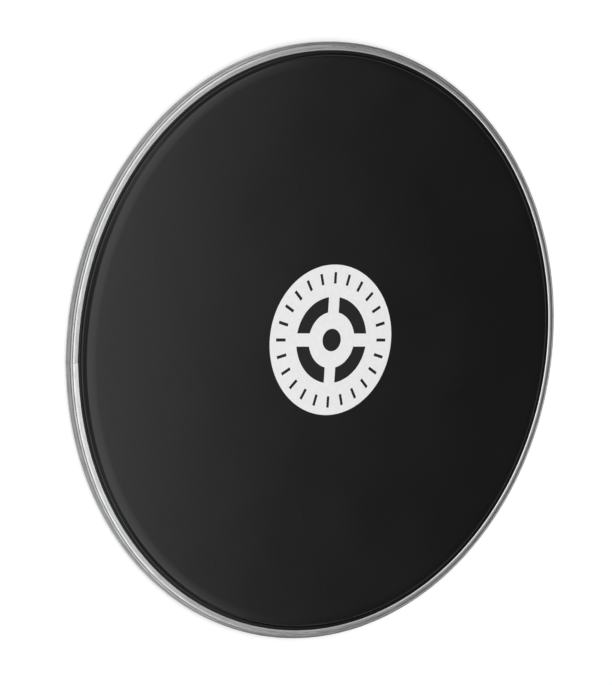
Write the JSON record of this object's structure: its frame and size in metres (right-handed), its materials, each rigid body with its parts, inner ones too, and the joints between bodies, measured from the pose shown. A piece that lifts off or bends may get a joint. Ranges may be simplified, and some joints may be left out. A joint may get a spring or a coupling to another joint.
{
  "type": "drum head",
  "caption": "Replacement head for a frame drum: low-collared black napa film crimped into a slim aluminium hoop, with a white printed aiming disc.",
  "frame": {"origin": "middle of the hoop, on the plane that the hoop rests on", "axes": "+Z is the playing side's outward normal, +X is to the right and +Y is up for a reader of the printed disc"},
  "size_m": [0.3172, 0.3172, 0.0062],
  "materials": {
    "hoop_aluminium": "satin rolled aluminium, mottled, with a polished inner lip",
    "key_ring_steel": "plain drawn steel, hidden inside the channel",
    "black_napa": "satin black synthetic napa with a very fine grain",
    "grey_backing": "matt dark grey backing with a fine weave",
    "white_ink": "screen-printed white ink, satin",
    "black_ink": "screen-printed black ink, satin"
  },
  "bodies": {
    "root": {"hoop_channel": "hoop_aluminium", "key_ring": "key_ring_steel", "napa_face": "black_napa", "backing_film": "grey_backing", "print_disc": "white_ink", "aiming_mark": "black_ink"}
  },
  "joints": []
}
